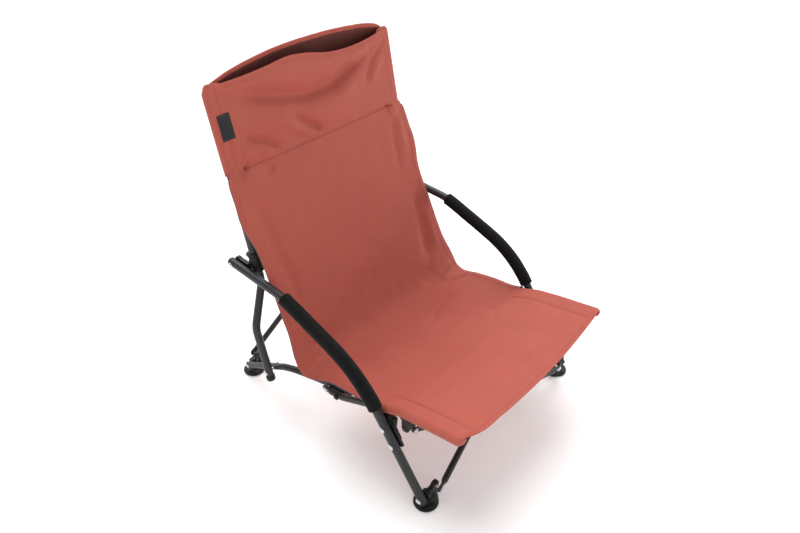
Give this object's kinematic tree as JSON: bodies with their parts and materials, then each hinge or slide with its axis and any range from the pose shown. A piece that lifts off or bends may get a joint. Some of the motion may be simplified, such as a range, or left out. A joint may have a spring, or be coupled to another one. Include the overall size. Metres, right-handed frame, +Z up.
{
  "type": "folding camp chair",
  "caption": "Low folding camp chair: a scissor frame of bent tubes on four disc feet carries a one-piece fabric sling with foam-gripped arm rests and a pocket at the head.",
  "frame": {"origin": "centre of the bounding box footprint, at floor level under the four feet", "axes": "+Z is up; +Y points to the back of the chair, so the sitter faces -Y; +X is the right-hand side seen from the front"},
  "size_m": [0.6032, 0.6941, 0.771],
  "materials": {
    "steel": "satin charcoal powder coat on round steel tube",
    "plastic": "black moulded nylon, fine matte grain",
    "foam": "near-black closed-cell foam with a skin",
    "zinc": "bright zinc-plated rivets",
    "fabric": "terracotta polyester canvas, fine plain weave, matte",
    "label": "plain black woven side label"
  },
  "bodies": {
    "front_foot_left": {"front_foot_left": "plastic", "front_foot_left_side_pin": "zinc", "front_foot_left_cross_pin": "zinc"},
    "front_cross_a": {"front_cross_tube_a": "steel", "front_cross_rivet": "zinc"},
    "front_cross_b": {"front_cross_tube_b": "steel"},
    "front_foot_right": {"front_foot_right": "plastic", "front_foot_right_side_pin": "zinc", "front_foot_right_cross_pin": "zinc"},
    "arm_left": {"arm_tube_left": "steel", "arm_grip_left": "foam", "arm_end_cap_left": "plastic", "leg_clip_left": "plastic", "leg_clip_rivet_lower_left": "zinc", "leg_clip_rivet_upper_left": "zinc"},
    "slider_left": {"slider_left": "plastic", "slider_rivet_left": "zinc"},
    "post_left": {"back_post_left": "steel", "post_foot_cap_left": "plastic", "post_pivot_pin_left": "zinc"},
    "rail_left": {"rear_rail_left": "steel", "front_rail_left": "steel", "rail_lap_rivet_left": "zinc", "rail_lap_bolt_left": "plastic", "rail_hanger_left": "plastic", "knuckle_rivet_left": "zinc"},
    "knuckle_left": {"cross_knuckle_left": "plastic"},
    "rear_foot_left": {"rear_foot_left": "plastic", "rear_foot_left_side_pin": "zinc", "rear_foot_left_cross_pin": "zinc"},
    "arm_right": {"arm_tube_right": "steel", "arm_grip_right": "foam", "arm_end_cap_right": "plastic", "leg_clip_right": "plastic", "leg_clip_rivet_lower_right": "zinc", "leg_clip_rivet_upper_right": "zinc"},
    "slider_right": {"slider_right": "plastic", "slider_rivet_right": "zinc"},
    "post_right": {"back_post_right": "steel", "post_foot_cap_right": "plastic", "post_pivot_pin_right": "zinc"},
    "rail_right": {"rear_rail_right": "steel", "front_rail_right": "steel", "rail_lap_rivet_right": "zinc", "rail_lap_bolt_right": "plastic", "rail_hanger_right": "plastic", "knuckle_rivet_right": "zinc"},
    "knuckle_right": {"cross_knuckle_right": "plastic"},
    "rear_foot_right": {"rear_foot_right": "plastic", "rear_foot_right_side_pin": "zinc", "rear_foot_right_cross_pin": "zinc"},
    "rear_cross_a": {"rear_cross_tube_a": "steel", "rear_cross_rivet_a": "zinc"},
    "rear_cross_b": {"rear_cross_tube_b": "steel", "rear_cross_rivet_b": "zinc"},
    "sling_back": {"sling_back": "fabric", "head_pocket": "fabric", "side_label": "label"},
    "sling_lumbar": {"sling_lumbar": "fabric"},
    "sling_seat": {"sling_seat": "fabric"}
  },
  "joints": [
    {"name": "fold", "type": "hinge", "parent": "front_foot_left", "child": "front_cross_a", "pos_m": [-0.23, -0.2942, 0.036], "axis": [0.1639, -0.9859, -0.0325], "range_deg": [0, 66.27], "deforming": ["sling_back", "head_pocket", "sling_lumbar", "sling_seat", "side_label"]},
    {"name": "front_cross_centre", "type": "hinge", "parent": "front_cross_a", "child": "front_cross_b", "pos_m": [0, -0.258, 0.098], "axis": [0, 0.9973, -0.0736], "range_deg": [0, 130.53]},
    {"name": "front_cross_foot_right", "type": "hinge", "parent": "front_cross_b", "child": "front_foot_right", "pos_m": [0.23, -0.2942, 0.036], "axis": [-0.1639, -0.9859, -0.0325], "range_deg": [0, 66.29]},
    {"name": "arm_pivot_left", "type": "hinge", "parent": "front_foot_left", "child": "arm_left", "pos_m": [-0.27, -0.2768, 0.026], "axis": [1, 0, 0], "range_deg": [0, 40.02]},
    {"name": "slider_pivot_left", "type": "hinge", "parent": "arm_left", "child": "slider_left", "pos_m": [-0.27, 0.2712, 0.354], "axis": [1, 0, 0], "range_deg": [-32.3, 0]},
    {"name": "post_slide_left", "type": "slide", "parent": "slider_left", "child": "post_left", "axis": [0, -0.1961, -0.9806], "range_m": [0, 0.19986]},
    {"name": "post_pivot_left", "type": "hinge", "parent": "post_left", "child": "rail_left", "pos_m": [-0.27, 0.1744, 0.101], "axis": [1, 0, 0], "range_deg": [-63.23, 0]},
    {"name": "knuckle_pivot_left", "type": "hinge", "parent": "rail_left", "child": "knuckle_left", "pos_m": [-0.246, -0.2148, 0.1771], "axis": [1, 0, 0], "range_deg": [0, 86.17]},
    {"name": "rear_foot_pivot_left", "type": "hinge", "parent": "rail_left", "child": "rear_foot_left", "pos_m": [-0.27, 0.2932, 0.026], "axis": [1, 0, 0], "range_deg": [0, 55.51]},
    {"name": "arm_pivot_right", "type": "hinge", "parent": "front_foot_right", "child": "arm_right", "pos_m": [0.27, -0.2768, 0.026], "axis": [1, 0, 0], "range_deg": [0, 40.02]},
    {"name": "slider_pivot_right", "type": "hinge", "parent": "arm_right", "child": "slider_right", "pos_m": [0.27, 0.2712, 0.354], "axis": [1, 0, 0], "range_deg": [-32.3, 0]},
    {"name": "post_slide_right", "type": "slide", "parent": "slider_right", "child": "post_right", "axis": [0, -0.1961, -0.9806], "range_m": [0, 0.19986]},
    {"name": "post_pivot_right", "type": "hinge", "parent": "post_right", "child": "rail_right", "pos_m": [0.27, 0.1744, 0.101], "axis": [1, 0, 0], "range_deg": [-63.23, 0]},
    {"name": "knuckle_pivot_right", "type": "hinge", "parent": "rail_right", "child": "knuckle_right", "pos_m": [0.246, -0.2148, 0.1771], "axis": [1, 0, 0], "range_deg": [0, 86.17]},
    {"name": "rear_foot_pivot_right", "type": "hinge", "parent": "rail_right", "child": "rear_foot_right", "pos_m": [0.27, 0.2932, 0.026], "axis": [1, 0, 0], "range_deg": [0, 55.51]},
    {"name": "rear_cross_pivot_left", "type": "hinge", "parent": "rear_foot_left", "child": "rear_cross_a", "pos_m": [-0.238, 0.3106, 0.036], "axis": [-0.1705, -0.9818, 0.0836], "range_deg": [0, 46.84]},
    {"name": "rear_cross_pivot_right", "type": "hinge", "parent": "rear_foot_right", "child": "rear_cross_b", "pos_m": [0.238, 0.3106, 0.036], "axis": [0.1705, -0.9818, 0.0836], "range_deg": [-46.84, 0]},
    {"name": "sling_gather", "type": "slide", "parent": "post_left", "child": "sling_back", "axis": [1, 0, 0], "range_m": [-0.19236, 0]},
    {"name": "lumbar_bend", "type": "hinge", "parent": "sling_back", "child": "sling_lumbar", "pos_m": [0, 0.0872, 0.184], "axis": [1, 0, 0], "range_deg": [-97.24, 0]},
    {"name": "seat_bend", "type": "hinge", "parent": "sling_lumbar", "child": "sling_seat", "pos_m": [0, 0.0602, 0.1495], "axis": [1, 0, 0], "range_deg": [0, 18.93]}
  ],
  "couplings": [
    {"joint": "front_cross_centre", "follows": "fold", "ratio": 1.9695},
    {"joint": "front_cross_foot_right", "follows": "fold", "ratio": 1},
    {"joint": "arm_pivot_left", "follows": "fold", "ratio": 0.60363},
    {"joint": "slider_pivot_left", "follows": "fold", "ratio": -0.48713},
    {"joint": "post_slide_left", "follows": "fold", "m_per_rad": 0.17276},
    {"joint": "post_pivot_left", "follows": "fold", "ratio": -0.95395},
    {"joint": "knuckle_pivot_left", "follows": "fold", "ratio": 1.3001},
    {"joint": "rear_foot_pivot_left", "follows": "fold", "ratio": 0.83746},
    {"joint": "arm_pivot_right", "follows": "fold", "ratio": 0.60363},
    {"joint": "slider_pivot_right", "follows": "fold", "ratio": -0.48713},
    {"joint": "post_slide_right", "follows": "fold", "m_per_rad": 0.17276},
    {"joint": "post_pivot_right", "follows": "fold", "ratio": -0.95395},
    {"joint": "knuckle_pivot_right", "follows": "fold", "ratio": 1.3001},
    {"joint": "rear_foot_pivot_right", "follows": "fold", "ratio": 0.83746},
    {"joint": "rear_cross_pivot_left", "follows": "fold", "ratio": 0.70649},
    {"joint": "rear_cross_pivot_right", "follows": "fold", "ratio": -0.70649},
    {"joint": "sling_gather", "follows": "fold", "m_per_rad": -0.16628},
    {"joint": "lumbar_bend", "follows": "fold", "ratio": -1.4671},
    {"joint": "seat_bend", "follows": "fold", "ratio": 0.28536}
  ]
}
